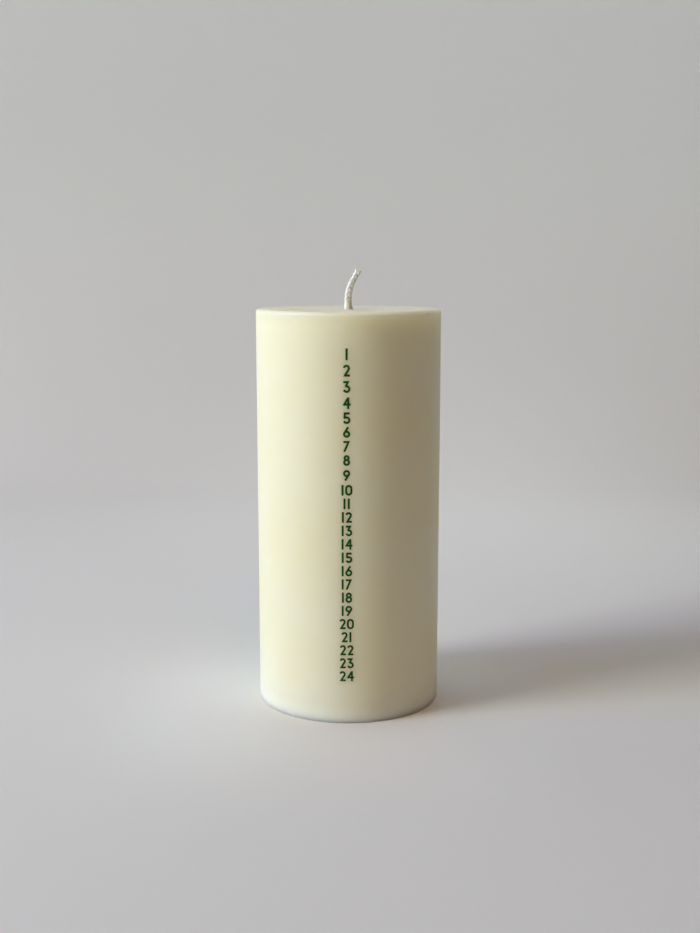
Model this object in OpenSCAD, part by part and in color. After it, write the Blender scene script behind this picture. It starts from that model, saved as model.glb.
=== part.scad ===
// Calendar candle: a poured wax pillar that burns down past one printed number a day.
// Millimetres. The origin is the centre of the foot, +Z is up and the numbers face -Y.

/* [Wax] */
// Diameter of the pillar
wax_d = 69.5; // [60:0.5:90]
// Height of the pillar at its rim
wax_h = 150; // [145:1:200]
// Radius of the rounded rim
rim_r = 1.2; // [0.6:0.1:2.5]
// Width of the level lip inside the rounded rim
lip_w = 0.6; // [0.3:0.1:2]
// Width of the slope from the lip down into the dish
slope_w = 12; // [6:0.5:18]
// Depth of the dish in the top
dish_depth = 0.4; // [0.2:0.1:1.5]
// Radius of the rounded edge round the foot
foot_r = 0.8; // [0.4:0.1:2]
// Height that the wax climbs up the wick
climb_h = 3; // [1:0.1:4]
// Thickness of that wax at its foot
climb_w = 0.5; // [0.3:0.1:1.5]

/* [Wick] */
// Diameter of the braided wick
wick_d = 2.5; // [1.6:0.1:3.2]
// Straight stretch of wick above the wax that climbs it
wick_stand = 1; // [0.5:0.1:5]
// Radius of the first bend, just above the straight stretch
low_bend_r = 12.5; // [8:0.5:20]
// Angle of the first bend
low_bend_angle = 20; // [5:1:40]
// Radius of the second bend, up to the trimmed end
high_bend_r = 24; // [15:0.5:40]
// Angle of the second bend
high_bend_angle = 12; // [5:1:25]
// How much thinner each bend is than the stretch below it, as the wax coat drains off
wick_slim = 0.25; // [0.1:0.05:0.3]
// Diameter of the frayed end
fray_d = 2.8; // [2.4:0.1:4]
// Length of the frayed end
fray_l = 1.7; // [0.8:0.1:3]

/* [Sustainer] */
// Diameter of the disc that anchors the wick under the foot
disc_d = 20; // [15:0.5:30]
// Thickness of its tinplate
sheet = 0.3; // [0.2:0.05:0.6]
// Height of the neck, from the underside of the disc
neck_h = 6; // [4:0.5:10]
// Gap between the wick and the neck, away from the crimp
neck_gap = 0.25; // [0.15:0.05:0.5]
// Height of the crimp that grips the wick
crimp_h = 1.6; // [1:0.1:2.5]
// Height of the disc's underside above the table
disc_lift = 0.6; // [0.3:0.1:2]
// Clearance between the metal and the wax
metal_fit = 0.1; // [0.05:0.05:0.4]

/* [Days] */
// Height of the printed figures
figure_h = 3.75; // [3:0.05:4.2]
// Height of the larger figures of the first days
first_figure_h = 4; // [3:0.05:4.4]
// Last day whose figures are larger
last_large_day = 5; // [1:1:10]
// Width of the stroke that draws the figures
stroke_w = 0.62; // [0.4:0.02:0.75]
// Thickness of the ink
ink_t = 0.1; // [0.05:0.01:0.2]
// Drop from the rim to the middle of the first number
first_drop = 14.6; // [10:0.1:20]
// Distance from the middle of the first number to the middle of the last
scale_span = 117.3; // [110:0.1:124]
// Sideways shift of the column of numbers from the middle of the front
scale_shift = -0.7; // [-3:0.05:3]

/* [Hidden] */
DAYS = 24;
// Each pair is a day and the relative step from it, and from the days after it, to the next number.
STEPS = [[1, 1.16], [4, 1.075], [5, 1.02], [8, 1.09], [10, 1]];
// Room that each figure from 0 to 9 takes along the line, as a share of its height
ADVANCE = [0.78, 0.41, 0.72, 0.76, 0.78, 0.76, 0.77, 0.77, 0.73, 0.77];
ARC_STEP = 12;
SMOOTH = 96;
LAP = 0.3;

wax_r = wax_d / 2;
wick_r = wick_d / 2;
dish_z = wax_h - dish_depth;
climb_z = dish_z + climb_h;
dish_r = wax_r - rim_r - lip_w - slope_w;
neck_r = wick_r + neck_gap;
neck_top = disc_lift + neck_h;
bend_z = climb_z + wick_stand;

function day_name(day) = str("day_", day < 10 ? "0" : "", day);

// Curves

// Points round an arc, both ends included
function arc(centre, r, from, to) =
    let (count = ceil(abs(to - from) / ARC_STEP))
    [for (i = [0:count]) let (a = from + (to - from) * i / count) centre + r * [cos(a), sin(a)]];

// Points round an open bowl that runs clockwise and leaves its circle in a straight tail
function bowl(r, from, to, tail) =
    concat(arc([0, 0], r, from, to), [r * [cos(to), sin(to)] + tail * [sin(to), -cos(to)]]);

// Points of a closed circle, with no point twice
function ring_points(centre, r) =
    [for (a = [0:ARC_STEP:359]) centre + r * [cos(a), sin(a)]];

// Solid of revolution round the pillar's axis
module revolve(outline) {
    rotate_extrude($fn = SMOOTH) polygon(outline);
}

// Wax

// Smooth step from 0 to 1, level at both ends
function ease(t) = (1 - cos(180 * t)) / 2;

// Step down from the lip to the floor of the dish, from outside to inside
function dish_slope(count = 6) =
    [for (i = [0:count]) [dish_r + slope_w * (1 - i / count), wax_h - dish_depth * ease(i / count)]];

// Step in to the wick of the wax that climbs it, from the floor of the dish up
function climb(count = 5) =
    [for (i = [0:count]) [wick_r + climb_w * (1 - ease(i / count)), dish_z + climb_h * i / count]];

module wax_pillar() {
    color("ivory") difference() {
        revolve(concat(
            [[0, 0]],
            arc([wax_r - foot_r, foot_r], foot_r, -90, 0),
            arc([wax_r - rim_r, wax_h - rim_r], rim_r, 0, 90),
            dish_slope(),
            climb(),
            [[0, climb_z]]
        ));
        // Hole that the wick fills
        translate([0, 0, -LAP])
            cylinder(r = wick_r, h = climb_z + 2 * LAP, $fn = SMOOTH);
        // Seat of the disc
        translate([0, 0, -LAP])
            cylinder(r = disc_d / 2 + metal_fit, h = LAP + disc_lift + sheet, $fn = SMOOTH);
        // Hole round the neck
        translate([0, 0, -LAP])
            cylinder(r = neck_r + sheet + metal_fit, h = LAP + neck_top + metal_fit, $fn = SMOOTH);
    }
}

// Wick

// Tube that starts at the origin along +Z and turns towards +X, rooted by a lap in the stretch before.
// Its children carry on from its end.
module bend(r, angle, d) {
    root = LAP / r * 180 / PI;
    translate([r, 0, 0]) rotate([90, 0, 0]) rotate([0, 0, 180 - angle])
        rotate_extrude(angle = angle + root, $fn = SMOOTH) translate([r, 0]) circle(d = d, $fn = SMOOTH);
    translate([r * (1 - cos(angle)), 0, r * sin(angle)]) rotate([0, angle, 0]) children();
}

module wick() {
    color("floralwhite") {
        translate([0, 0, disc_lift])
            cylinder(d = wick_d, h = bend_z - disc_lift, $fn = SMOOTH);
        translate([0, 0, bend_z])
            bend(low_bend_r, low_bend_angle, wick_d - wick_slim)
            bend(high_bend_r, high_bend_angle, wick_d - 2 * wick_slim)
            translate([0, 0, -LAP])
            cylinder(d1 = wick_d - 2.5 * wick_slim, d2 = fray_d, h = fray_l + LAP, $fn = SMOOTH);
    }
}

// Sustainer

// Outline of the neck's bore from the top down: it closes on the wick at the crimp.
function neck_bore() =
    let (middle = neck_top - 1.2 * crimp_h)
    [
        [neck_r, neck_top],
        [neck_r, middle + crimp_h / 2],
        [wick_r, middle + crimp_h / 4],
        [wick_r, middle - crimp_h / 4],
        [neck_r, middle - crimp_h / 2],
        [neck_r, disc_lift]
    ];

module wick_sustainer() {
    wall = neck_bore();
    outside = [for (i = [len(wall) - 2:-1:0]) wall[i] + [sheet, 0]];
    shoulder = neck_r + 2 * sheet;
    color("silver") revolve(concat(
        wall,
        [[disc_d / 2, disc_lift], [disc_d / 2, disc_lift + sheet]],
        [[shoulder, disc_lift + sheet], [neck_r + sheet, disc_lift + 2 * sheet]],
        outside
    ));
}

// Days

// Unit normal to the left of the way from p to q
function left(p, q) = let (d = (q - p) / norm(q - p)) [-d[1], d[0]];

// Offset of the stroke's edge at point i of an open path, mitred where the path turns
function mitre(path, i) =
    i == 0 ? left(path[0], path[1]) :
    i == len(path) - 1 ? left(path[i - 1], path[i]) :
    let (a = left(path[i - 1], path[i]), b = left(path[i], path[i + 1]))
    (a + b) / (1 + a * b);

// One pen stroke of the given width along an open path
module stroke(path, w) {
    last = len(path) - 1;
    polygon(concat(
        [for (i = [0:last]) path[i] + mitre(path, i) * w / 2],
        [for (i = [last:-1:0]) path[i] - mitre(path, i) * w / 2]
    ));
}

// Closed ring of the given outer radius
module ring(centre, r, w) {
    difference() {
        polygon(ring_points(centre, r));
        polygon(ring_points(centre, r - w));
    }
}

// Nought: two half rings joined by straight sides
module nought(h, w) {
    r = 0.33 * h;
    low = [0, r];
    high = [0, h - r];
    difference() {
        polygon(concat(arc(high, r, 0, 180), arc(low, r, 180, 360)));
        polygon(concat(arc(high, r - w, 0, 180), arc(low, r - w, 180, 360)));
    }
}

// Two: an open hook that runs straight down to the corner of its base
module two(h, w) {
    r = 0.295 * h;
    slant = 31;
    hook = arc([-0.015 * h, h - r], r - w / 2, 166, -slant);
    heel = hook[len(hook) - 1];
    run = (heel[1] - w / 2) * tan(slant);
    stroke(concat(hook, [[heel[0] - run, w / 2], [0.28 * h, w / 2]]), w);
}

// Three: a flat top and a slant down to an open bowl
module three(h, w) {
    r = 0.315 * h;
    path = [for (p = bowl(r - w / 2, 114, -132, 0.11 * h)) p + [0, r]];
    stroke(path, w);
    stroke([[-0.28 * h, h - w / 2], [0.11 * h, h - w / 2], path[0]], w);
}

// Four: a stem, with a slant and a crossbar that meet at its left
module four(h, w) {
    stem = 0.15 * h;
    bar = 0.38 * h;
    translate([stem - w / 2, 0]) square([w, h]);
    intersection() {
        stroke([[stem + 0.1 * h, 1.18 * h], [-0.21 * h, bar], [0.34 * h, bar]], w);
        translate([-h, 0]) square([h + stem + w / 2, h]);
    }
    translate([stem, bar - w / 2]) square([0.19 * h, w]);
}

// Five: a flag and stem over an open bowl
module five(h, w) {
    r = 0.32 * h;
    stroke([[0.26 * h, h - w / 2], [-0.16 * h, h - w / 2], [-0.185 * h, 0.49 * h]], w);
    translate([0, r]) stroke(bowl(r - w / 2, 136, -132, 0.1 * h), w);
}

// Six: a round bowl, and a slant that runs into its left side
module six(h, w) {
    r = 0.32 * h;
    slant = 149;
    run = 0.64 * h;
    foot = [0, r] + (r - 0.57 * w) * [cos(slant), sin(slant)];
    way = [sin(slant), -cos(slant)];
    ring([0, r], r, w);
    stroke([foot - 0.05 * h * way, foot + run * way], w);
}

// Seven: a flat top and a slant
module seven(h, w) {
    stroke([[-0.29 * h, h - w / 2], [0.17 * h, h - w / 2], [-0.25 * h, -0.1 * h]], w);
}

// Eight: two rings that share a stroke at the waist
module eight(h, w) {
    low_r = 0.31 * h;
    high_r = (h + w) / 2 - low_r;
    ring([0, low_r], low_r, w);
    ring([0, h - high_r], high_r, w);
}

// One figure on its base line, centred on x = 0. Sharp corners end at the edges of its own box.
module figure(digit, h, w) {
    half = 0.36 * h;
    intersection() {
        translate([-half, 0]) square([2 * half, h]);
        union() {
            if (digit == 0) nought(h, w);
            if (digit == 1) translate([-w / 2, 0]) square([w, h]);
            if (digit == 2) two(h, w);
            if (digit == 3) three(h, w);
            if (digit == 4) four(h, w);
            if (digit == 5) five(h, w);
            if (digit == 6) six(h, w);
            if (digit == 7) seven(h, w);
            if (digit == 8) eight(h, w);
            if (digit == 9) translate([0, h]) rotate(180) six(h, w);
        }
    }
}

// A whole number, centred on the origin
module number(value, h, w) {
    tens = floor(value / 10);
    units = value % 10;
    line = h * ((tens > 0 ? ADVANCE[tens] : 0) + ADVANCE[units]);
    translate([0, -h / 2]) {
        if (tens > 0) translate([(h * ADVANCE[tens] - line) / 2, 0]) figure(tens, h, w);
        translate([(line - h * ADVANCE[units]) / 2, 0]) figure(units, h, w);
    }
}

// Relative step from one day down to the next: that of the last pair in STEPS that starts by then
function step(day) = [for (s = STEPS) if (s[0] <= day) s[1]][len([for (s = STEPS) if (s[0] <= day) 1]) - 1];

// Sum of the relative steps above a day
function steps_above(day) = day == 1 ? 0 : step(day - 1) + steps_above(day - 1);

// Height of the middle of a day's number
function day_z(day) = wax_h - first_drop - scale_span * steps_above(day) / steps_above(DAYS);

module day_mark(day) {
    h = day <= last_large_day ? first_figure_h : figure_h;
    band = h + 2 * LAP;
    color("darkgreen") intersection() {
        translate([0, 0, day_z(day) - band / 2]) difference() {
            cylinder(r = wax_r + ink_t, h = band, $fn = SMOOTH);
            translate([0, 0, -LAP]) cylinder(r = wax_r, h = band + 2 * LAP, $fn = SMOOTH);
        }
        translate([scale_shift, -wax_r / 2, day_z(day)]) rotate([90, 0, 0])
            linear_extrude(wax_r) number(day, h, stroke_w);
    }
}

wax_pillar();
wick();
wick_sustainer();
for (day = [1:DAYS]) day_mark(day);
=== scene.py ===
"""Calendar candle: an ivory wax pillar with a braided wick, a tinplate sustainer and a number a day.

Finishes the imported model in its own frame: metres, the origin under the middle of the foot, +Z up and
the numbers towards -Y. Each piece is a surface worked out from a few sizes, with a procedural material.
"""

import math

import bpy
import numpy as np
from bpy.props import FloatProperty, FloatVectorProperty, IntProperty, PointerProperty
from mathutils import Euler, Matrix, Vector


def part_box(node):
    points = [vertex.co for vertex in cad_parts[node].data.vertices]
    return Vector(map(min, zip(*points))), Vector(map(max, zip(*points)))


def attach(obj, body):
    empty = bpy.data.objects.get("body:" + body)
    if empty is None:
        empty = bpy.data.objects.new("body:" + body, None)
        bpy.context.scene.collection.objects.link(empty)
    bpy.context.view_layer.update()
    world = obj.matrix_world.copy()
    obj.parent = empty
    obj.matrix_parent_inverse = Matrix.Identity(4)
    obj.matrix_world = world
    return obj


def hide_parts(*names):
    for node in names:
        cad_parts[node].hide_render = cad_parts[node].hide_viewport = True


bl_info = {
    "name": "Calendar candle",
    "version": (1, 0, 0),
    "blender": (4, 5, 0),
    "location": "3D View > Sidebar > Candle",
    "description": "Finishes the wax, wick, sustainer and day numbers of a calendar candle",
    "category": "Object",
}

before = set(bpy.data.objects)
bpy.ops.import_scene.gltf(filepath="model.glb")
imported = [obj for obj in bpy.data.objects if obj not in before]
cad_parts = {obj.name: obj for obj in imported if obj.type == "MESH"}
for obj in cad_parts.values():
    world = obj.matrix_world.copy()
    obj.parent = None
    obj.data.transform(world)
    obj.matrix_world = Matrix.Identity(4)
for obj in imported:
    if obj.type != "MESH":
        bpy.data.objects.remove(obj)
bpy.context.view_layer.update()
BODY = "root"
MM = 0.001
TURN = 2 * math.pi


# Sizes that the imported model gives


def node_points(node):
    """Every point of a node's mesh, as rows of x, y and z."""
    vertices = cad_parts[node].data.vertices
    points = np.empty(3 * len(vertices))
    vertices.foreach_get("co", points)
    return points.reshape(-1, 3)


wax_points = node_points("wax_pillar")
wax_reach = np.hypot(wax_points[:, 0], wax_points[:, 1])
PILLAR_R = wax_reach.max()
RIM_Z = wax_points[wax_reach > 0.9 * PILLAR_R, 2].max()
WICK_R = -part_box("wick")[0].x
WICK_FOOT_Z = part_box("wick")[0].z
DISC_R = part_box("wick_sustainer")[1].x
DISC_Z, NECK_TOP_Z = (corner.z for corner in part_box("wick_sustainer"))
DAY_NODES = sorted(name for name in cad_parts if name.startswith("day_"))


# Settings


def length(label, about, default):
    """A length that a user may change, in metres."""
    return FloatProperty(
        name=label, description=about, default=default, min=0, unit="LENGTH", precision=5
    )


def coordinate(label, about, default):
    """A place along an axis that a user may change, in metres."""
    return FloatProperty(name=label, description=about, default=default, unit="LENGTH")


def factor(label, about, default):
    """A factor that a user may change, 0 or more."""
    return FloatProperty(name=label, description=about, default=default, min=0)


def number(label, about, default, low, high):
    """A whole number that a user may change."""
    return IntProperty(name=label, description=about, default=default, min=low, max=high)


def angle(label, about, default):
    """An angle that a user may change, given in degrees and kept in radians."""
    return FloatProperty(name=label, description=about, default=math.radians(default), unit="ROTATION")


def colour(label, about, default):
    """A linear colour that a user may change."""
    return FloatVectorProperty(
        name=label, description=about, default=default, size=3, min=0, max=1, subtype="COLOR"
    )


class WaxSettings(bpy.types.PropertyGroup):
    """Shape and finish of the poured pillar"""

    rim_r: length("Rim radius", "Radius of the rounded rim", 1.2 * MM)
    lip: length("Lip", "Width of the level lip inside the rim", 0.6 * MM)
    slope: length("Slope", "Width of the slope from the lip down into the dish", 12 * MM)
    dish: length("Dish", "Depth of the dish in the top", 0.4 * MM)
    foot_r: length("Foot radius", "Radius of the rounded edge round the foot", 0.25 * MM)
    collar_h: length("Collar height", "Height that the wax climbs up the wick", 2.8 * MM)
    collar_t: length("Collar thickness", "Thickness of the wax on the wick's foot", 0.45 * MM)
    spur: length("Spur", "How far the wax runs out on the right of the wick's foot", 0.55 * MM)
    ripple: length("Ripple", "Depth of the uneven places in the wall", 0.03 * MM)
    light_wax: colour("Light wax", "Wax where it set clear and pale", (0.79, 0.775, 0.56))
    warm_wax: colour("Warm wax", "Wax where it set a little yellower", (0.79, 0.755, 0.5))
    # Painted shade: this factor darkens and pinks the colour of the top face, where less light falls.
    top_painted_shade: colour("Top tint", "Factor on the wax colour in the poured top face", (0.87, 0.86, 0.85))
    # Painted shade: this factor darkens the band of wall just under the rim.
    rim_painted_shade: colour("Rim tint", "Factor on the wax colour just under the rim", (0.915, 0.93, 0.93))
    # Painted light: the grey near the foot stands in for light that the floor sends back, not for wax
    # that set last.
    foot_painted_bounce: colour("Foot wax", "Wax near the foot, which set last and is greyer", (0.79, 0.785, 0.66))
    foot_h: length("Foot height", "Height over which the wax gets greyer", 28 * MM)
    # Painted light: the pale edge of the foot is a glow of light that the floor sends back.
    foot_edge_painted_glow: colour("Edge wax", "Pale wax at the foot's edge", (1.0, 0.985, 0.73))
    edge_h: length("Edge height", "Height over which the wax gets paler", 8 * MM)
    scatter: length("Scatter", "Distance that light wanders inside the wax", 12 * MM)
    collar_wax: colour("Collar wax", "Wax that climbs the pale wick", (0.90, 0.88, 0.70))
    collar_scatter: length("Collar scatter", "The same distance in the thin collar", 0.8 * MM)


class WickSettings(bpy.types.PropertyGroup):
    """Shape and finish of the braided wick"""

    width: length("Width", "Width of the braid where it leaves the wax", 2.8 * MM)
    tip_width: length("Tip width", "Width just below the cut end, under a thin coat", 2.2 * MM)
    flare_width: length("Flare width", "Width of the loosened cut end", 2.85 * MM)
    flare: length("Flare", "Length of the loosened end", 1.7 * MM)
    reach: length("Reach", "Length of wick above the dish", 15.3 * MM)
    stitch: length("Stitch", "Length of braid from one crossing of a strand to the next", 1.8 * MM)
    stand: length("Stand", "Length of wick above the dish before it bends", 3.2 * MM)
    bend: length("Bend", "Length of wick over which it bends", 9.4 * MM)
    lean: angle("Lean", "How far the cut end leans towards +X", 29.5)
    yarns: number("Yarns", "Yarns that show round one strand", 6, 3, 12)
    hairs: number("Hairs", "Loose cotton hairs at the cut end", 40, 0, 400)
    cotton: colour("Cotton", "Waxed cotton", (0.97, 0.94, 0.75))
    # Painted shade: the cotton is darker and yellower down between the yarns, by the depth of the
    # grooves.
    groove: colour("Grooves", "Cotton down between the yarns", (0.90, 0.84, 0.62))


class SustainerSettings(bpy.types.PropertyGroup):
    """Shape and finish of the stamped tinplate that anchors the wick"""

    sheet: length("Sheet", "Thickness of the tinplate", 0.3 * MM)
    neck_gap: length("Neck gap", "Gap between the wick and the neck, away from the crimp", 0.25 * MM)
    crimp_h: length("Crimp", "Height of the crimp that grips the wick", 1.6 * MM)
    fit: length("Fit", "Clearance between the metal and the wax", 0.1 * MM)
    bead: length("Bead", "Depth of the stiffening bead stamped in the disc", 0.16 * MM)
    tin: colour("Tin", "Tinplate", (0.72, 0.72, 0.70))


class InkSettings(bpy.types.PropertyGroup):
    """Finish of the printed numbers"""

    ink: colour("Ink", "Printed ink where it lies thick", (0.0, 0.05, 0.003))
    thin_ink: colour("Thin ink", "Printed ink where it lies thin", (0.0, 0.09, 0.009))
    spread_top: length("Spread", "How far the ink of the first number has spread", 0.085 * MM)
    spread_low: length("Spread at the foot", "The same for the last number", 0.025 * MM)


class StudioSettings(bpy.types.PropertyGroup):
    """Camera, light and paper sweep"""

    lens: FloatProperty(name="Lens", description="Focal length, in mm", default=47.07, min=10, max=300)
    eye_y: coordinate("Eye Y", "Place of the camera along Y", -0.4614)
    eye_z: coordinate("Eye Z", "Height of the camera", 0.1666)
    pitch: angle("Pitch", "How far the camera looks down", 9.436)
    yaw: angle("Yaw", "How far the camera looks towards +X", 0.067)
    paper: colour("Paper", "Seamless paper under and behind the candle", (0.69, 0.686, 0.618))
    wall_y: length("Wall", "Distance behind the candle at which the paper starts to curve up", 0.42)
    room_r: length("Room", "Distance at which it starts to curve up elsewhere", 2.6)
    paper_bend: length("Bend", "Radius of the curve of the paper", 0.3)
    paper_h: length("Paper height", "Height of the paper's top edge", 1.8)
    light: factor("Light", "Factor on the power of all the lamps", 1)
    room_colour: colour("Room colour", "Light that the room sends back", (0.95, 0.90, 0.82))
    room_power: factor("Room power", "Strength of the room's light", 0.002)


# Curves and unevenness


def ease(t):
    """Smooth step: 0 up to t = 0, 1 from t = 1 on, with level ends."""
    t = np.clip(t, 0, 1)
    return t * t * (3 - 2 * t)


def straight(start, end, count):
    """count points from start towards end, without the end."""
    t = np.arange(count)[:, None] / count
    return np.asarray(start) * (1 - t) + np.asarray(end) * t


def arc(middle, radius, first, last, count):
    """count points round an arc between two angles in degrees, without the last."""
    turn = np.radians(first + (last - first) * np.arange(count) / count)
    return np.asarray(middle) + radius * np.stack([np.cos(turn), np.sin(turn)], axis=-1)


def unevenness(points, size, seed, waves=16):
    """Smooth, repeatable unevenness of about unit depth at each point.

    It is a sum of plane sine waves, about size long, that run in random directions.
    """
    draw = np.random.default_rng(seed)
    ways = draw.normal(size=(waves, 3))
    ways /= np.linalg.norm(ways, axis=1, keepdims=True)
    pace = TURN / size * draw.uniform(0.6, 1.5, (waves, 1))
    start = draw.uniform(0, TURN, waves)
    return np.sin(points @ (ways * pace).T + start).sum(axis=-1) / math.sqrt(waves)


def crowded(count, whole, spots, width, crowd):
    """count places round a loop of length whole, about crowd times closer together round some spots.

    The places are read back from the running sum of a density of 1 that rises to crowd in a bell-shaped
    peak at each spot.
    """
    fine = np.linspace(0, whole, 20 * count + 1)
    away = (fine[:, None] - spots + whole / 2) % whole - whole / 2
    density = 1 + (crowd - 1) * np.exp(-((away / width) ** 2)).sum(axis=1)
    total = np.concatenate([[0], np.cumsum((density[1:] + density[:-1]) / 2)])
    return np.interp(np.arange(count) / count * total[-1], total, fine)


# Meshes


def placed(name, data):
    """A new object with this data, in the scene."""
    obj = bpy.data.objects.new(name, data)
    bpy.context.scene.collection.objects.link(obj)
    return obj


def cells(rows, columns):
    """Rows and columns of the corners of each quad, in so many rows of quads round closed rings."""
    row, column = np.meshgrid(np.arange(rows), np.arange(columns), indexing="ij")
    return row.reshape(-1, 1) + [0, 0, 1, 1], column.reshape(-1, 1) + [0, 1, 1, 0]


def skin(name, grids, joined=False, girth=1.0, along=None):
    """A mesh object over grids of points, given as an array of grid, row, column and xyz.

    Each row is a closed ring, and neighbouring rings are joined by quads. With joined, the last ring
    joins the first; otherwise a fan of triangles to its middle closes each end. The rings run
    anticlockwise seen from where the rows lead, so the faces point outwards. With along, the place of
    each row in metres, the mesh gets a UV map of the way round, girth wide, and the way along.
    """
    count, rows, columns, _ = grids.shape
    row, column = cells(rows if joined else rows - 1, columns)
    quads = row % rows * columns + column % columns
    points = grids.reshape(count, rows * columns, 3)
    fans = np.empty((0, 3), int)
    if not joined:
        points = np.concatenate([points, grids[:, [0, -1]].mean(axis=2)], axis=1)
        here, beside = np.arange(columns), (np.arange(columns) + 1) % columns
        low, high = rows * columns, rows * columns + 1
        last = (rows - 1) * columns
        fans = np.concatenate(
            [
                np.stack([np.full(columns, low), beside, here], axis=-1),
                np.stack([np.full(columns, high), last + here, last + beside], axis=-1),
            ]
        )
    first = np.arange(count)[:, None, None] * points.shape[1]
    loops = np.concatenate([(quads + first).ravel(), (fans + first).ravel()])
    sizes = np.concatenate([np.full(count * len(quads), 4), np.full(count * len(fans), 3)])
    mesh = bpy.data.meshes.new(name)
    mesh.vertices.add(count * points.shape[1])
    mesh.vertices.foreach_set("co", points.astype(np.float32).ravel())
    mesh.loops.add(len(loops))
    mesh.loops.foreach_set("vertex_index", loops)
    mesh.polygons.add(len(sizes))
    mesh.polygons.foreach_set("loop_start", np.cumsum(sizes) - sizes)
    if along is not None:
        around = girth / columns
        quad_uv = np.stack([column * around, along[row]], axis=-1)
        middle = (np.arange(columns) + 0.5) * around
        fan_uv = np.stack([np.tile(middle, 2), np.repeat(along[[0, -1]], columns)], axis=-1)
        fan_uv = np.repeat(fan_uv[:, None], 3, axis=1)
        uv = np.concatenate([np.tile(quad_uv.ravel(), count), np.tile(fan_uv.ravel(), count)])
        mesh.uv_layers.new(name="weave").data.foreach_set("uv", uv.astype(np.float32))
    mesh.update(calc_edges=True)
    mesh.validate()
    mesh.shade_smooth()
    return placed(name, mesh)


def outwards(angles):
    """Unit vectors that point straight out from the Z axis at the given angles."""
    return np.stack([np.cos(angles), np.sin(angles), 0 * angles], axis=-1)


# Angles of the columns of points round the smaller turned pieces and the paper
ROUND = TURN * np.arange(96) / 96


def turned(outline, angles):
    """One closed grid: an outline of radius and height turned round the Z axis to the given angles."""
    radius, height = outline.T[:, :, None]
    ring = np.broadcast_arrays(radius * np.cos(angles), radius * np.sin(angles), height)
    return np.stack(ring, axis=-1)


def fit_piece(obj, material, slot, *nodes):
    """Dresses a new piece, lets it stand for its nodes and ties it to the body."""
    obj.data.materials.append(material)
    if nodes:
        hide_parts(*nodes)
    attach(obj, BODY)


# Materials


class Value:
    """The output of a node. Arithmetic on it adds Math nodes and gives a new Value."""

    def __init__(self, coat, output):
        self.coat = coat
        self.output = output

    def maths(self, operation, *values):
        """The result of a Math node."""
        return self.coat.add("ShaderNodeMath", {"operation": operation}, dict(enumerate(values)))

    def __add__(self, other):
        return self.maths("ADD", self, other)

    __radd__ = __add__

    def __sub__(self, other):
        return self.maths("SUBTRACT", self, other)

    def __rsub__(self, other):
        return self.maths("SUBTRACT", other, self)

    def __mul__(self, other):
        return self.maths("MULTIPLY", self, other)

    __rmul__ = __mul__

    def between(self, low, high):
        """0 below low, 1 above high and an eased step between them."""
        settings = {"interpolation_type": "SMOOTHSTEP"}
        limits = {"Value": self, "From Min": low, "From Max": high}
        return self.coat.add("ShaderNodeMapRange", settings, limits)


class Coat:
    """A procedural material built round one Principled shader."""

    def __init__(self, name):
        self.material = bpy.data.materials.new(name)
        self.material.use_nodes = True
        self.tree = self.material.node_tree
        self.tree.nodes.clear()

    def add(self, kind, settings=None, inputs=None, output=0):
        """Adds a node: its settings first, then its inputs by name or number, as numbers or as Values.

        Gives the output of that name or number as a Value, or nothing where output is None.
        """
        node = self.tree.nodes.new(kind)
        for name, setting in (settings or {}).items():
            setattr(node, name, setting)
        for name, value in (inputs or {}).items():
            if isinstance(value, Value):
                self.tree.links.new(value.output, node.inputs[name])
            else:
                node.inputs[name].default_value = value
        return None if output is None else Value(self, node.outputs[output])

    def place(self, source="Object", stretch=(1, 1, 1), turn=(0, 0, 0)):
        """Coordinates in metres, stretched and turned by a Mapping node where that is asked for."""
        where = self.add("ShaderNodeTexCoord", output=source)
        if (stretch, turn) == ((1, 1, 1), (0, 0, 0)):
            return where
        inputs = {"Vector": where, "Scale": stretch, "Rotation": turn}
        return self.add("ShaderNodeMapping", {"vector_type": "POINT"}, inputs)

    def noise(self, place, size, detail=2.0, roughness=0.5):
        """Soft noise from 0 to 1 whose patches are about size across."""
        inputs = {"Vector": place, "Scale": 1 / size, "Detail": detail, "Roughness": roughness}
        return self.add("ShaderNodeTexNoise", {"noise_dimensions": "3D"}, inputs)

    def mix(self, amount, first, second, blend="MIX"):
        """A colour between two colours, or the first tinted by the second with blend "MULTIPLY"."""
        first, second = (c if isinstance(c, Value) else (*c, 1) for c in (first, second))
        settings = {"data_type": "RGBA", "blend_type": blend}
        return self.add("ShaderNodeMix", settings, {0: amount, 6: first, 7: second}, output=2)

    def bump(self, height, depth):
        """Normals of a surface raised by height, from 0 to 1, times depth in metres."""
        inputs = {"Height": height, "Strength": 1.0, "Distance": depth}
        return self.add("ShaderNodeBump", None, inputs)

    def finish(self, inputs):
        """Adds the shader with its inputs and gives the material."""
        shader = self.add("ShaderNodeBsdfPrincipled", {"subsurface_method": "RANDOM_WALK"}, inputs)
        self.add("ShaderNodeOutputMaterial", None, {"Surface": shader}, output=None)
        return self.material


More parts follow.
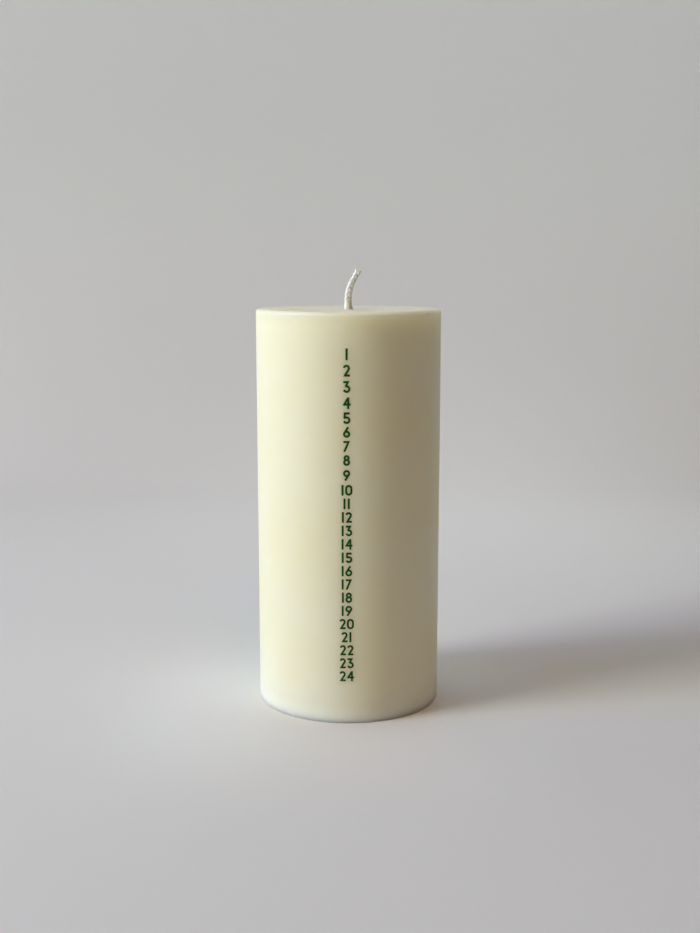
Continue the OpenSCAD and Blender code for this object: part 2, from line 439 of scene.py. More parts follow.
def ivory_wax(settings, scatter, light, warm):
    """Pale, slightly cloudy wax: yellower clouds, fine grain, handling scratches and a satin skin.

    The poured top face is less glossy than the moulded wall, and darker and pinker as painted shade. The
    wall has painted shade just under the rim, is painted greyer towards the foot for the light that the
    floor sends back, and has a painted pale glow at the foot's edge.
    """
    coat = Coat("ivory_wax")
    place = coat.place()
    broad = coat.noise(place, 34 * MM, 1)
    cloud = coat.noise(place, 6 * MM, 3, 0.55)
    grain = coat.noise(place, 0.5 * MM, 2)
    warmth = (broad * 0.7 + cloud * 0.3).between(0.32, 0.68)
    height = coat.add("ShaderNodeSeparateXYZ", None, {"Vector": place}, output="Z")
    climbing = height.between(RIM_Z, RIM_Z + 0.6 * MM)
    # Mask of the top face: it darkens the colour there as painted shade, and makes it rougher.
    poured = height.between(RIM_Z - 1.2 * MM, RIM_Z - 0.3 * MM) * (1 - climbing)
    # Mask of the painted shade in a band just under the rim.
    under_rim_shade = height.between(RIM_Z - 6 * MM, RIM_Z - 1 * MM) * (1 - poured)
    # Mask of the painted floor bounce, greyer towards the foot.
    foot = 1 - height.between(0, settings.foot_h)
    # Mask of the painted glow, paler at the foot's edge.
    edge = 1 - height.between(0, settings.edge_h)
    body = coat.mix(warmth, tuple(light), tuple(warm))
    # Painted shade just under the rim.
    body = coat.mix(under_rim_shade, body, tuple(settings.rim_painted_shade), "MULTIPLY")
    # Painted shade on the top face.
    body = coat.mix(poured, body, tuple(settings.top_painted_shade), "MULTIPLY")
    # Painted floor bounce towards the foot.
    body = coat.mix(foot * 0.4, body, tuple(settings.foot_painted_bounce))
    # Painted glow at the foot's edge.
    body = coat.mix(edge * 0.6, body, tuple(settings.foot_edge_painted_glow))
    scratch_place = coat.place(stretch=(1, 1, 0.06), turn=(0.5, 0.35, 0))
    scratch = coat.noise(scratch_place, 0.28 * MM, 1).between(0.66, 0.76)
    handled = coat.noise(place, 11 * MM, 1).between(0.56, 0.7)
    scratched = scratch * handled
    skin_bump = coat.bump(cloud * 0.7 + grain * 0.12 - scratched * 0.25, 0.012 * MM)
    return coat.finish(
        {
            "Base Color": body,
            "Roughness": 0.36 + 0.1 * cloud + 0.12 * scratched + 0.15 * poured,
            "IOR": 1.44,
            "Subsurface Weight": 1.0,
            "Subsurface Radius": (1.0, 0.92, 0.75),
            "Subsurface Scale": scatter,
            "Normal": skin_bump,
        }
    )


def waxed_cotton(settings):
    """Cotton yarn under a thin coat of wax: fibres along the yarn, painted shade in the grooves and a
    dull gloss.
    """
    coat = Coat("wick_cotton")
    fibre_place = coat.place("UV", stretch=(1, 0.12, 1), turn=(0, 0, 0.3))
    fibre = coat.noise(fibre_place, 0.07 * MM, 2)
    blotch = coat.noise(coat.place(), 0.9 * MM, 2)
    # Depth into the grooves between the yarns, which darkens the cotton as painted shade.
    depth = coat.add("ShaderNodeAttribute", {"attribute_name": "groove"}, output="Fac")
    shade = (depth * 0.8 + (fibre - 0.5) * 0.5 + (blotch - 0.5) * 0.4).between(0.15, 0.95)
    fuzz = coat.bump(fibre * 0.6 + blotch * 0.4, 0.015 * MM)
    return coat.finish(
        {
            "Base Color": coat.mix(shade, tuple(settings.cotton), tuple(settings.groove)),
            "Roughness": 0.65 + 0.2 * fibre,
            "Specular IOR Level": 0.3,
            "Subsurface Weight": 0.6,
            "Subsurface Radius": (1.0, 0.9, 0.7),
            "Subsurface Scale": 0.35 * MM,
            "Normal": fuzz,
        }
    )


def tinplate(settings):
    """Stamped tinplate: faint spangle, rolling marks that run along Y and smears of wax."""
    coat = Coat("tinplate")
    place = coat.place()
    spangle = coat.noise(place, 1.6 * MM, 3, 0.6)
    marks = coat.noise(coat.place(stretch=(1, 0.05, 1)), 0.06 * MM, 1)
    smear = coat.noise(place, 2.5 * MM, 2).between(0.6, 0.72)
    bright = coat.mix(spangle, tuple(0.8 * c for c in settings.tin), tuple(settings.tin))
    return coat.finish(
        {
            "Base Color": coat.mix(smear * 0.5, bright, (0.8, 0.78, 0.66)),
            "Metallic": 1 - 0.7 * smear,
            "Roughness": 0.26 + 0.16 * spangle + 0.2 * smear,
            "Normal": coat.bump(marks * 0.5 + spangle * 0.5, 0.01 * MM),
        }
    )


def green_ink(settings):
    """Printed ink, a little thinner and lighter in patches, with a slight gloss."""
    coat = Coat("green_ink")
    place = coat.place()
    patch = coat.noise(place, 2.4 * MM, 2).between(0.35, 0.75)
    grain = coat.noise(place, 0.09 * MM, 2)
    thin = patch * 0.8 + grain * 0.2
    return coat.finish(
        {
            "Base Color": coat.mix(thin, tuple(settings.ink), tuple(settings.thin_ink)),
            "Roughness": 0.55 + 0.15 * grain,
            "Specular IOR Level": 0.25,
            "Normal": coat.bump(grain, 0.006 * MM),
        }
    )


def plain_paper(settings):
    """Matt studio paper with a faint tooth."""
    coat = Coat("paper")
    tooth = coat.noise(coat.place(), 1.2 * MM, 3)
    shade = [tuple(level * c for c in settings.paper) for level in (0.985, 1.0)]
    return coat.finish({"Base Color": coat.mix(tooth, *shade), "Roughness": 0.9})


# Wax pillar

# The pit in the wall: its angle round the axis, height, radius and depth
PIT_ANGLE = math.radians(-35)
PIT_Z = RIM_Z - 1.3 * MM
PIT_R = 0.25 * MM
PIT_DEPTH = 0.6 * MM

# The nick in the rim: its angle, distance from the axis, radius and depth
NICK_ANGLE = math.radians(-9.9)
NICK_REACH = 33.4 * MM
NICK_R = 0.55 * MM
NICK_DEPTH = 0.6 * MM

# Columns of points round the pillar, how many times closer they stand at the pit and the nick, and
# within which angle
COLUMNS = 300
CROWD = 8
CROWD_WIDTH = math.radians(2.5)

# Length of the ripples in the wall and the dish, their swing in units of unevenness, the depth of those
# in the dish, and how far the calm strip at the numbers reaches to each side
WALL_WAVE = 24 * MM
DISH_WAVE = 16 * MM
SWING = 1.5
DISH_RIPPLE = 0.05 * MM
CALM = 9 * MM

# The collar: how far and how high its meniscus spreads, the depth and length of its lumps, the angle,
# angular width and height of its spur, and how deep its outline is sunk in the dish
MENISCUS_R = 0.4 * MM
MENISCUS_H = 0.12 * MM
LUMP_DEPTH = 0.08 * MM
LUMP_WAVE = 2.2 * MM
SPUR_ANGLE = 0.2
SPUR_WIDTH = 0.5
SPUR_H = 0.45 * MM
COLLAR_SINK = 0.4 * MM

# How far along X the wick stands from the axis where it leaves the wax
WICK_SHIFT = -0.2 * MM


def collar_radius(height, wick_r, settings):
    """Radius of the wax round the wick at a height above the dish.

    The coat thins almost evenly from its thickness at the dish to nothing at the top of the collar, and
    spreads at its foot as a small meniscus that dies away exponentially.
    """
    coat = settings.collar_t * np.clip(1 - height / settings.collar_h, 0, 1) ** 0.8
    return wick_r + coat + MENISCUS_R * np.exp(-height / MENISCUS_H)


def pillar_outline(settings, sustainer):
    """Outline of the wax as radius and height, closed on itself.

    It runs from the seat of the disc out along the foot, up the wall, over the rim, down into the dish,
    and back down the wick's hole, the hole round the neck and the seat. Its points are closer together
    on the last 3 mm of the wall, where the pit is.
    """
    dish_z = RIM_Z - settings.dish
    seat_r = DISC_R + sustainer.fit
    neck_r = WICK_R + sustainer.neck_gap + sustainer.sheet + sustainer.fit
    neck_top = NECK_TOP_Z + sustainer.fit
    seat_top = DISC_Z + sustainer.sheet
    lip_r = PILLAR_R - settings.rim_r - settings.lip
    floor_r = lip_r - settings.slope
    foot_in = PILLAR_R - settings.foot_r
    rim_in = PILLAR_R - settings.rim_r
    fine_z = RIM_Z - 3 * MM
    t = np.arange(30) / 30
    slope = np.stack([lip_r - settings.slope * t, RIM_Z - settings.dish * ease(t)], axis=-1)
    return np.concatenate(
        [
            straight([seat_r, 0], [foot_in, 0], 16),
            arc([foot_in, settings.foot_r], settings.foot_r, -90, 0, 10),
            straight([PILLAR_R, settings.foot_r], [PILLAR_R, fine_z], 96),
            straight([PILLAR_R, fine_z], [PILLAR_R, RIM_Z - settings.rim_r], 18),
            arc([rim_in, RIM_Z - settings.rim_r], settings.rim_r, 0, 90, 14),
            straight([rim_in, RIM_Z], [lip_r, RIM_Z], 4),
            slope,
            straight([floor_r, dish_z], [WICK_R, dish_z], 22),
            straight([WICK_R, dish_z], [WICK_R, neck_top], 8),
            [[WICK_R, neck_top], [neck_r, neck_top], [neck_r, seat_top], [seat_r, seat_top]],
        ]
    )


def wax_body(settings, sustainer):
    """The poured pillar: its outline turned round the axis, then made a little uneven as cast wax is.

    The wall sinks and the dish swells and sinks by slow ripples, and those of the wall fade towards the
    numbers. A dimple with a bell-shaped section makes the pit under the rim, and one the nick in it.
    """
    angles = crowded(COLUMNS, TURN, np.array([PIT_ANGLE, NICK_ANGLE]), CROWD_WIDTH, CROWD)
    rings = turned(pillar_outline(settings, sustainer), angles)
    x, y, z = np.moveaxis(rings, -1, 0)
    reach = np.hypot(x, y)
    dish_z = RIM_Z - settings.dish

    on_wall = ease((reach - 0.97 * PILLAR_R) / (0.02 * PILLAR_R)) * ease(z / (4 * MM))
    at_numbers = np.exp(-((x / CALM) ** 2)) * (y < 0)
    slow = np.clip(unevenness(rings, WALL_WAVE, 3), -SWING, SWING)
    sink = settings.ripple * (slow - SWING) / (2 * SWING) * on_wall * (1 - at_numbers)

    between = ease((PILLAR_R - reach) / (3 * MM)) * ease((reach - 3 * MM) / (3 * MM))
    on_dish = (z > dish_z - 0.1 * MM) * between
    swell = np.clip(unevenness(rings, DISH_WAVE, 5), -SWING, 0.8)
    rings[..., 2] += DISH_RIPPLE * swell * on_dish

    pit_away = ((angles - PIT_ANGLE + math.pi) % TURN - math.pi) * PILLAR_R
    pit = np.exp(-(np.hypot(pit_away, z - PIT_Z) / PIT_R) ** 2) * (reach > 0.9 * PILLAR_R)
    sink -= PIT_DEPTH * pit
    rings += sink[..., None] * outwards(angles)

    nick_spot = NICK_REACH * np.array([math.cos(NICK_ANGLE), math.sin(NICK_ANGLE)])
    nick_away = np.hypot(x - nick_spot[0], y - nick_spot[1])
    nick = np.exp(-((nick_away / NICK_R) ** 2)) * (z > RIM_Z - 1 * MM)
    rings[..., 2] -= NICK_DEPTH * nick
    return skin("wax_body", rings[None], joined=True)


def wax_collar(settings):
    """The wax that climbs the wick: an outline turned round the wick, with lumps and a spur.

    The outline starts sunk in the dish, runs in over the meniscus and up the collar, and returns inside
    the wick. The spur pushes the wax out by a bell of the angle that dies away exponentially with
    height.
    """
    dish_z = RIM_Z - settings.dish
    height = settings.collar_h * (np.arange(30) / 29) ** 1.5
    outside = np.stack([collar_radius(height, WICK_R, settings), dish_z + height], axis=-1)
    top, low = dish_z + settings.collar_h, dish_z - COLLAR_SINK
    apron = straight([outside[0, 0] + 0.5 * MM, low], outside[0], 5)
    outline = np.concatenate([apron, outside, straight([0.8 * WICK_R, top], [0.8 * WICK_R, low], 6)])
    rings = turned(outline, ROUND)
    rise = np.clip(rings[..., 2] - dish_z, 0, None)
    outer = (np.hypot(rings[..., 0], rings[..., 1]) > 0.9 * WICK_R) * 1.0
    lumps = LUMP_DEPTH * unevenness(rings, LUMP_WAVE, 11) * ease(rise / (0.4 * MM))
    from_spur = (ROUND - SPUR_ANGLE + math.pi) % TURN - math.pi
    spur = settings.spur * np.exp(-((from_spur / SPUR_WIDTH) ** 2)) * np.exp(-rise / SPUR_H)
    rings += ((lumps + spur) * outer)[..., None] * outwards(ROUND)
    rings[..., 0] += WICK_SHIFT
    return skin("wax_collar", rings[None], joined=True)


# Wick

# Distance between the rows of the braid where the wax hides it and where it shows, and the length of
# the closer rows that is still in the wax
HIDDEN_STEP = 0.6 * MM
STEP = 0.1 * MM
SUNK = 2 * MM

# Lean that the wick has from the wax on, before it bends
FIRST_LEAN = math.radians(1.4)

# The braid, as shares of its width: how far a strand swings to the side and to the front, the radius of
# a strand, and the reach of the core to the side and to the front
SIDE_SWING = 0.175
FRONT_SWING = 0.075
STRAND_R = 0.33
CORE_SIDE = 0.44
CORE_FRONT = 0.37

# A strand: how deep the grooves between its yarns are and how much it swells and thins, as shares of
# its radius, the length of a swelling, the length in which the yarns wind round once, and the length of
# the blunt end
GROOVE = 0.08
SWELL = 0.05
SWELL_WAVE = 1.7 * MM
WIND = 7 * MM
BLUNT = 0.15 * MM

# The loose hairs: how far from the middle of a strand's end they root as a share of the braid's width,
# how deep they root, their least and most length and radius in mm, and their bow as a share of the length
HAIR_SPREAD = 0.22
HAIR_ROOT = 0.4 * MM
HAIR_LENGTH = (0.45, 0.95)
HAIR_R = (0.025, 0.05)
HAIR_BOW = (-0.1, 0.35)


def wick_route(settings, dish_z):
    """Places along the wick, its centre line and its heading from +Z towards +X.

    The heading eases from upright to a slight lean at the wax and on to the full lean over the bend,
    and the line is its running sum. Below the dish the rows stand further apart, because only the ends
    of that stretch are seen, and the line eases from the axis to its place at the wax.
    """
    hidden = np.arange(WICK_FOOT_Z - dish_z, -SUNK, HIDDEN_STEP)
    along = np.concatenate([hidden, np.arange(-SUNK, settings.reach + 0.1 * STEP, STEP)])
    lean = settings.lean * ease((along - settings.stand) / settings.bend)
    heading = FIRST_LEAN * ease(along / (2 * MM)) + lean
    step = np.diff(along)
    side = np.concatenate([[0], np.cumsum((np.sin(heading[1:]) + np.sin(heading[:-1])) / 2 * step)])
    rise = np.concatenate([[0], np.cumsum((np.cos(heading[1:]) + np.cos(heading[:-1])) / 2 * step)])
    side += WICK_SHIFT * ease((along + 14 * MM) / (12 * MM))
    return along, np.stack([side, 0 * side, WICK_FOOT_Z + rise], axis=-1), heading


def wick_width(along, settings):
    """Width of the braid: it thins evenly from the wax up to the flare, and opens at the cut end.

    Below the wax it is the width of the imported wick.
    """
    opening = settings.reach - settings.flare
    thinning = np.clip((along - 2 * MM) / opening, 0, 1)
    width = settings.width + (settings.tip_width - settings.width) * thinning
    width = np.where(along < 0, 2 * WICK_R, width)
    flaring = ease((along - opening) / settings.flare)
    return width + (settings.flare_width - settings.tip_width) * flaring


def wick_strands(settings, dish_z):
    """Centre lines of the three strands, as strand, row and xyz, with the braid's width and places.

    As in any plait, a strand swings from side to side as a sine, and from front to back as a sine of
    twice the pace, a third of a swing after the strand before it.
    """
    along, centre, heading = wick_route(settings, dish_z)
    width = wick_width(along, settings)
    side = np.stack([np.cos(heading), 0 * heading, -np.sin(heading)], axis=-1)
    depth = np.array([0, 1, 0])
    swing = TURN * (along / (3 * settings.stitch) + np.arange(3)[:, None] / 3)
    across = SIDE_SWING * width * np.sin(swing)
    through = FRONT_SWING * width * np.sin(2 * swing)
    return centre + across[..., None] * side + through[..., None] * depth, width, along


def wick_braid(settings, dish_z):
    """The braid: a lobed section carried along each strand.

    The section is a circle whose radius dips at each groove between the yarns, as the size of a cosine
    does, and the lobes wind slowly round the strand. The last rows draw in to a blunt end. An oval
    core, the wax and yarn inside the braid, fills the hollows between the strands.
    """
    lines, width, along = wick_strands(settings, dish_z)
    ahead = np.gradient(lines, along, axis=1)
    ahead /= np.linalg.norm(ahead, axis=-1, keepdims=True)
    right = np.cross([0, 1, 0], ahead)
    right /= np.linalg.norm(right, axis=-1, keepdims=True)
    front = np.cross(ahead, right)
    columns = 6 * settings.yarns
    turn = TURN * np.arange(columns) / columns
    wind = TURN * along[:, None] / WIND + np.arange(3)[:, None, None]
    lobe = np.abs(np.cos(settings.yarns * (turn + wind) / 2))
    to_end = np.clip((settings.reach - along) / BLUNT, 0, 1)
    dome = 0.8 + 0.2 * np.sqrt(1 - (1 - to_end) ** 2)
    radius = STRAND_R * (width * dome)[:, None] * (1 - GROOVE + GROOVE * lobe)
    radius = radius * (1 + SWELL * unevenness(lines, SWELL_WAVE, 21)[..., None])
    ring = np.cos(turn)[:, None] * right[:, :, None] + np.sin(turn)[:, None] * front[:, :, None]
    grids = lines[:, :, None] + radius[..., None] * ring
    core = lines.mean(axis=0)[:, None] + (width * dome)[:, None, None] * (
        CORE_SIDE * np.cos(turn)[:, None] * right.mean(axis=0)[:, None]
        + CORE_FRONT * np.sin(turn)[:, None] * front.mean(axis=0)[:, None]
    )
    grids = np.concatenate([grids, core[None]])
    braid = skin("wick_braid", grids, girth=TURN * 0.6 * MM, along=along)
    # Depth into the grooves, which the cotton reads to darken them as painted shade.
    groove = np.zeros((4, len(along) * columns + 2))
    groove[:3, :-2] = (1 - lobe).reshape(3, -1)
    attribute = braid.data.attributes.new("groove", "FLOAT", "POINT")
    attribute.data.foreach_set("value", groove.astype(np.float32).ravel())
    return braid


def wick_hairs(settings, dish_z):
    """Loose cotton hairs at the cut end: thin, tapered, gently bowed threads.

    Each is a square section carried along a parabola from a random root in a strand's end.
    """
    draw = np.random.default_rng(8)
    lines, width, along = wick_strands(settings, dish_z)
    ahead = lines[:, -1] - lines[:, -8]
    ahead /= np.linalg.norm(ahead, axis=-1, keepdims=True)
    count = settings.hairs
    strand = draw.integers(0, 3, count)
    spread = draw.normal(size=(count, 3))
    spread -= (spread * ahead[strand]).sum(axis=-1, keepdims=True) * ahead[strand]
    spread /= np.linalg.norm(spread, axis=-1, keepdims=True)
    off = HAIR_SPREAD * width[-1] * draw.uniform(0.05, 0.95, (count, 1)) ** 0.5
    root = lines[strand, -1] + spread * off - ahead[strand] * HAIR_ROOT
    reach = draw.uniform(*HAIR_LENGTH, (count, 1)) * MM
    t = np.linspace(0, 1, 6)[:, None]
    bow = draw.uniform(*HAIR_BOW, (count, 1, 1)) * reach[:, None]
    line = root[:, None] + ahead[strand][:, None] * reach[:, None] * t + spread[:, None] * bow * t**2
    right = np.cross(ahead[strand], spread)
    turn = TURN * np.arange(4) / 4
    ring = np.cos(turn)[:, None] * spread[:, None] + np.sin(turn)[:, None] * right[:, None]
    radius = draw.uniform(*HAIR_R, (count, 1, 1, 1)) * MM * (1 - 0.7 * t[None, :, :, None])
    grids = line[:, :, None] + radius * ring[:, None]
    return skin("wick_hairs", grids, girth=0.2 * MM, along=t[:, 0] * 0.7 * MM)


# Sustainer

# Radius of the bend between the disc and the neck's bore
FILLET_R = 0.35 * MM

# The bead in the disc: its place as a share of the disc's radius, and its half-width
BEAD_PLACE = 0.68
BEAD_W = 0.8 * MM

# How far the nip draws the neck in
NIP = 0.12 * MM


def sustainer_outline(settings):
    """Outline of the stamped tinplate as radius and height, closed on itself.

    It runs down the bore of the neck, which the crimp pinches in a bell-shaped bulge, along the disc's
    underside, where a bell-shaped bead stands proud, and back over the disc and up the outside of the
    neck.
    """
    low, top = DISC_Z, DISC_Z + settings.sheet
    bore_r = WICK_R + settings.neck_gap
    edge_r = settings.sheet / 2
    middle = NECK_TOP_Z - 1.2 * settings.crimp_h
    grip = settings.neck_gap * 0.98
    height = np.linspace(low + 0.5 * MM, NECK_TOP_Z, 30)
    pinch = grip * np.exp(-(((height - middle) / (0.45 * settings.crimp_h)) ** 2))
    bore = np.stack([bore_r - pinch, height], axis=-1)[::-1]
    neck = np.stack([bore_r - pinch + settings.sheet, height], axis=-1)
    reach = np.linspace(bore_r + FILLET_R, DISC_R - edge_r, 44)
    bead = settings.bead * np.exp(-(((reach - BEAD_PLACE * DISC_R) / BEAD_W) ** 2))
    under = np.stack([reach, low - bead], axis=-1)
    over = np.stack([reach[::-1], top - bead[::-1] * 0.6], axis=-1)
    edge = arc([DISC_R - edge_r, low + edge_r], edge_r, -90, 90, 8)
    fillet = arc([bore_r + FILLET_R, low + FILLET_R], FILLET_R, 180, 270, 6)
    shoulder = over[over[:, 0] > bore_r + settings.sheet + 0.3 * MM]
    return np.concatenate([bore, fillet, under, edge, shoulder, neck])


def sustainer_stamping(settings):
    """The sustainer: its outline turned round the axis, with the neck nipped flat on four sides.

    The nip draws the outside of the neck in by the square of a cosine of twice the angle, and eases in
    over the second millimetre above the disc.
    """
    rings = turned(sustainer_outline(settings), ROUND)[::-1]
    reach = np.hypot(rings[..., 0], rings[..., 1])
    on_neck = ease((rings[..., 2] - DISC_Z - 1 * MM) / (1 * MM)) * (reach < 3 * MM)
    fold = NIP * np.cos(2 * ROUND) ** 2 * on_neck
    rings -= (fold * (reach > WICK_R + 0.28 * MM))[..., None] * outwards(ROUND)
    return skin("sustainer_stamping", rings[None], joined=True)


# Numbers


def spread_ink(node, spread):
    """A number's ink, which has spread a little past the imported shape, as ink pressed on wax does.

    Each point on an edge of the ink moves by the spread along the sum of the normals of the edge's
    faces there, and keeps its distance from the axis. The edge's faces are those that don't look along
    the radius.
    """
    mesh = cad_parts[node].data
    mesh.calc_loop_triangles()
    corners = np.empty(3 * len(mesh.loop_triangles), int)
    mesh.loop_triangles.foreach_get("vertices", corners)
    corners = corners.reshape(-1, 3)
    points = node_points(node)
    first, second, third = points[corners].swapaxes(0, 1)
    normal = np.cross(second - first, third - first)
    radial = (first + second + third) * [1, 1, 0]
    along = (normal * radial).sum(axis=-1) / np.linalg.norm(normal, axis=-1)
    along /= np.linalg.norm(radial, axis=-1)
    edge = np.abs(along) < 0.5
    _, same = np.unique(points.round(8), axis=0, return_inverse=True)
    same = same.reshape(-1)
    push = np.zeros_like(points)
    np.add.at(push, same[corners[edge]], normal[edge][:, None])
    push = push[same]
    push /= np.maximum(np.linalg.norm(push, axis=-1, keepdims=True), 1e-20)
    moved = points + spread * push
    reach, moved_reach = (np.hypot(spots[:, 0], spots[:, 1]) for spots in (points, moved))
    moved[:, :2] *= (reach / moved_reach)[:, None]
    ink = bpy.data.meshes.new("ink_" + node[-2:])
    ink.from_pydata(moved, [], corners.tolist())
    return placed(ink.name, ink)


# Stage

# The middle of the candle, which most lamps face
CANDLE = (0, 0, RIM_Z / 2)

# Name, azimuth, height, distance, side, power, colour, cone and aim of each lamp, with the angles in
# degrees. A window on the left, bluer on its far side, lights the candle. Weak tinted lamps stand in for
# the light that a warm room sends back, and two narrow ones lift the foot of the candle and the paper
# behind it.
LAMPS = (
    ("window_left", 10, 28, 2.4, 0.8, 16.5, (0.3, 0.42, 1.0), 180, CANDLE),
    ("window_middle", 22, 24.5, 2.4, 0.8, 42.5, (0.91, 0.93, 1.0), 180, CANDLE),
    ("window_right", 34, 20, 2.4, 0.8, 5.4, (0.8, 1.0, 0.7), 180, CANDLE),
    ("ceiling", 0, 89, 2.2, 1.4, 5.2, (1.0, 0.44, 0.0), 180, CANDLE),
    ("back_fill", -90, 75, 1.2, 0.5, 0.36, (0.28, 0.65, 1.0), 60, CANDLE),
    ("front_fill", 100, 50, 1.2, 0.5, 0.075, (1.0, 0.1, 0.05), 40, CANDLE),
    ("right_fill", 200, 50, 1.2, 0.5, 0.034, (1.0, 0.97, 0.5), 50, CANDLE),
    ("foot_fill", 0, 90, 1.2, 0.12, 0.0062, (0.72, 0.95, 1.0), 5, (-0.012, -0.02, 0)),
    ("paper_fill", 0, 90, 0.9, 0.2, 0.087, (0.8, 0.88, 1.0), 40, (0.09, 0.37, 0)),
)


def sweep(settings):
    """A seamless cove of paper: a flat floor that curves up into a wall all round.

    Its section, a flat run, a quarter circle and an upright, is carried round the candle. The flat run
    ends on a straight line behind the candle and on a wide circle elsewhere: the smooth minimum of the
    two distances. A fan of triangles closes the middle of the floor.
    """
    line = settings.wall_y / np.maximum(np.sin(ROUND), 0.01)
    run = (line**-4.0 + settings.room_r**-4.0) ** -0.25
    bend = settings.paper_bend
    flat = np.linspace(0.07, 1, 13, endpoint=False)[:, None]
    upright = straight([bend, bend], [bend, settings.paper_h], 5)
    rise = np.concatenate([arc([0, bend], bend, -90, 0, 20), upright])
    out = np.concatenate([run * flat, run + rise[:, :1]])
    height = np.broadcast_to(np.concatenate([0 * flat, rise[:, 1:]]), out.shape)
    rings = np.stack([out * np.cos(ROUND), out * np.sin(ROUND), height], axis=-1)
    points = np.concatenate([rings.reshape(-1, 3), [[0, 0, 0]]])
    columns = len(ROUND)
    row, column = cells(len(out) - 1, columns)
    faces = row * columns + column % columns
    here = np.arange(columns)
    middle = np.full(columns, len(points) - 1)
    fan = np.stack([middle, (here + 1) % columns, here], axis=-1)
    mesh = bpy.data.meshes.new("paper_cove")
    mesh.from_pydata(points, [], [*faces.tolist(), *fan.tolist()])
    mesh.flip_normals()
    mesh.shade_smooth()
    mesh.materials.append(plain_paper(settings))
    placed(mesh.name, mesh)


def soft_light(name, azimuth, height, distance, size, power, tint, cone, aim):
    """A square lamp that faces a point from an angle round from -X towards -Y and an angle above it.

    A lamp with a narrow cone is a fill, and leaves no highlight.
    """
    lamp = bpy.data.lights.new(name, "AREA")
    lamp.shape = "SQUARE"
    lamp.size = size
    lamp.spread = cone
    lamp.energy = power
    lamp.color = tint
    obj = placed(name, lamp)
    level = math.cos(height)
    back = Vector((-math.cos(azimuth) * level, -math.sin(azimuth) * level, math.sin(height)))
    obj.location = Vector(aim) + back * distance
    obj.rotation_euler = back.to_track_quat("Z", "Y").to_euler()
    obj.visible_camera = False
    obj.visible_glossy = cone > math.pi / 2


def studio_camera(settings):
    """The camera, which looks along +Y and a little down."""
    lens = bpy.data.cameras.new("camera")
    lens.lens = settings.lens
    lens.clip_start = 0.01
    lens.clip_end = 20
    obj = placed("camera", lens)
    obj.location = (0, settings.eye_y, settings.eye_z)
    obj.rotation_euler = Euler((math.pi / 2 - settings.pitch, 0, -settings.yaw))
    bpy.context.scene.camera = obj


def room_light(settings):
    """Even, dim light from all round."""
    world = bpy.data.worlds.new("room")
    world.use_nodes = True
    background = world.node_tree.nodes["Background"]
    background.inputs["Color"].default_value = (*settings.room_colour, 1)
    background.inputs["Strength"].default_value = settings.room_power
    bpy.context.scene.world = world


# Operators and panel


class CANDLE_OT_wax(bpy.types.Operator):
    """Pours the wax pillar"""

    bl_idname = "candle.wax"
    bl_label = "Wax pillar"

    def execute(self, context):
        settings = context.scene.candle_wax
        body = wax_body(settings, context.scene.candle_sustainer)
        wax = ivory_wax(settings, settings.scatter, settings.light_wax, settings.warm_wax)
        pale = settings.collar_wax
        thin_wax = ivory_wax(settings, settings.collar_scatter, pale, pale)
        fit_piece(body, wax, "ivory_wax", "wax_pillar")
        fit_piece(wax_collar(settings), thin_wax, "ivory_wax")
        return {"FINISHED"}


class CANDLE_OT_wick(bpy.types.Operator):
    """Braids the wick and frays its cut end"""

    bl_idname = "candle.wick"
    bl_label = "Braided wick"

    def execute(self, context):
        settings = context.scene.candle_wick
        dish_z = RIM_Z - context.scene.candle_wax.dish
        cotton = waxed_cotton(settings)
        fit_piece(wick_braid(settings, dish_z), cotton, "wick_cotton", "wick")
        fit_piece(wick_hairs(settings, dish_z), cotton, "wick_cotton")
        return {"FINISHED"}


class CANDLE_OT_sustainer(bpy.types.Operator):
    """Stamps the sustainer that anchors the wick"""

    bl_idname = "candle.sustainer"
    bl_label = "Wick sustainer"

    def execute(self, context):
        settings = context.scene.candle_sustainer
        fit_piece(sustainer_stamping(settings), tinplate(settings), "tinplate", "wick_sustainer")
        return {"FINISHED"}


class CANDLE_OT_numbers(bpy.types.Operator):
    """Inks the column of day numbers"""

    bl_idname = "candle.numbers"
    bl_label = "Day numbers"

    def execute(self, context):
        if not DAY_NODES:
            raise RuntimeError("the packed model has no day numbers")
        settings = context.scene.candle_ink
        ink = green_ink(settings)
        spreads = np.linspace(settings.spread_top, settings.spread_low, len(DAY_NODES))
        for node, spread in zip(DAY_NODES, spreads):
            fit_piece(spread_ink(node, spread), ink, "green_ink", node)
        return {"FINISHED"}


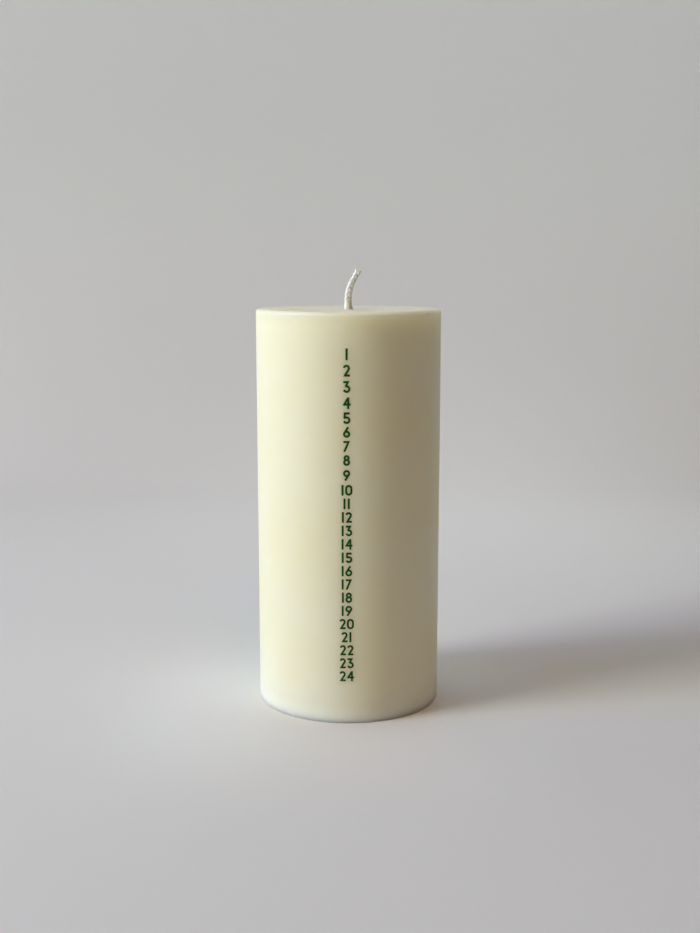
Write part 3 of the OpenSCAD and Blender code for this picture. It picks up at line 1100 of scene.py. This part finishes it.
class CANDLE_OT_studio(bpy.types.Operator):
    """Sets the camera, the lights and the paper sweep"""

    bl_idname = "candle.studio"
    bl_label = "Studio"

    def execute(self, context):
        settings = context.scene.candle_studio
        studio_camera(settings)
        sweep(settings)
        room_light(settings)
        for name, azimuth, height, distance, size, power, tint, cone, aim in LAMPS:
            turn, tilt, spread = (math.radians(value) for value in (azimuth, height, cone))
            soft_light(name, turn, tilt, distance, size, power * settings.light, tint, spread, aim)
        context.scene.view_settings.view_transform = "Standard"
        return {"FINISHED"}


OPERATORS = (CANDLE_OT_wax, CANDLE_OT_wick, CANDLE_OT_sustainer, CANDLE_OT_numbers, CANDLE_OT_studio)
SETTINGS = {
    "candle_wax": WaxSettings,
    "candle_wick": WickSettings,
    "candle_sustainer": SustainerSettings,
    "candle_ink": InkSettings,
    "candle_studio": StudioSettings,
}


class CANDLE_PT_parts(bpy.types.Panel):
    """Lists the pieces of the candle with their sizes and colours"""

    bl_idname = "CANDLE_PT_parts"
    bl_label = "Calendar candle"
    bl_space_type = "VIEW_3D"
    bl_region_type = "UI"
    bl_category = "Candle"

    def draw(self, context):
        for operator, name in zip(OPERATORS, SETTINGS):
            box = self.layout.box()
            box.operator(operator.bl_idname)
            settings = getattr(context.scene, name)
            for key in settings.bl_rna.properties.keys():
                if key not in {"rna_type", "name"}:
                    box.prop(settings, key)


CLASSES = (*SETTINGS.values(), *OPERATORS, CANDLE_PT_parts)


def register():
    """Adds the classes, and the settings of each piece to the scene."""
    for cls in CLASSES:
        bpy.utils.register_class(cls)
    for name, cls in SETTINGS.items():
        setattr(bpy.types.Scene, name, PointerProperty(type=cls))


def unregister():
    """Takes the settings and the classes away again."""
    for name in SETTINGS:
        delattr(bpy.types.Scene, name)
    for cls in reversed(CLASSES):
        bpy.utils.unregister_class(cls)


def main():
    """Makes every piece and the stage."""
    register()
    bpy.ops.candle.wax()
    bpy.ops.candle.wick()
    bpy.ops.candle.sustainer()
    bpy.ops.candle.numbers()
    bpy.ops.candle.studio()


if __name__ == "__main__":
    main()
